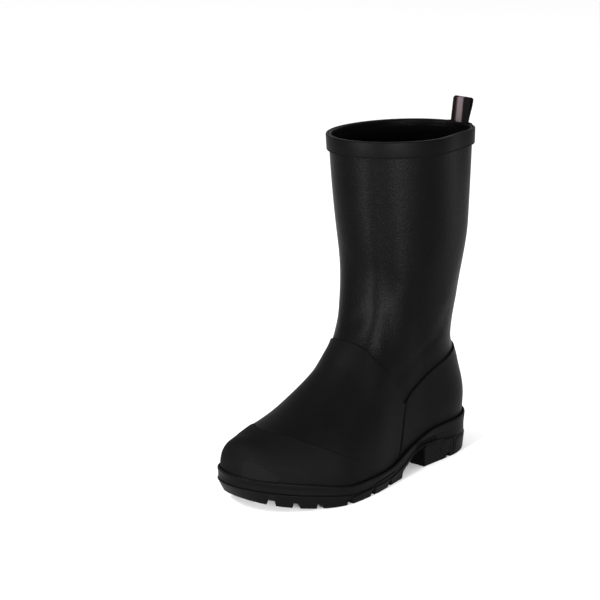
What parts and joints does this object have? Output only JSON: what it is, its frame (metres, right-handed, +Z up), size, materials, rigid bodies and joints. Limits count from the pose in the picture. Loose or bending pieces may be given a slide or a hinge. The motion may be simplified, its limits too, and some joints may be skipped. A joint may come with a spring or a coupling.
{
  "type": "rubber boot",
  "caption": "Left mid-calf rubber boot, black: hollow shaft with a raised collar band, webbing pull loop, instep, toe and heel overlays, lugged sole with a heel block.",
  "frame": {"origin": "middle of the boot's box at floor level", "axes": "+Z up out of the collar, -Y towards the toe, +X towards the foot's outer side, which is the wearer's left"},
  "size_m": [0.1154, 0.2856, 0.3339],
  "materials": {
    "shaft_rubber": "satin, fine leather-like grain",
    "overlay_rubber": "matte, smooth",
    "sole_rubber": "matte, moulded",
    "lining": "black textile",
    "webbing": "woven tape"
  },
  "bodies": {
    "root": {"upper": "shaft_rubber", "collar_band": "shaft_rubber", "vamp": "overlay_rubber", "toe_cap": "overlay_rubber", "heel_counter": "overlay_rubber", "midsole": "sole_rubber", "outsole": "sole_rubber", "insole": "lining", "pull_loop": "webbing"}
  },
  "joints": []
}
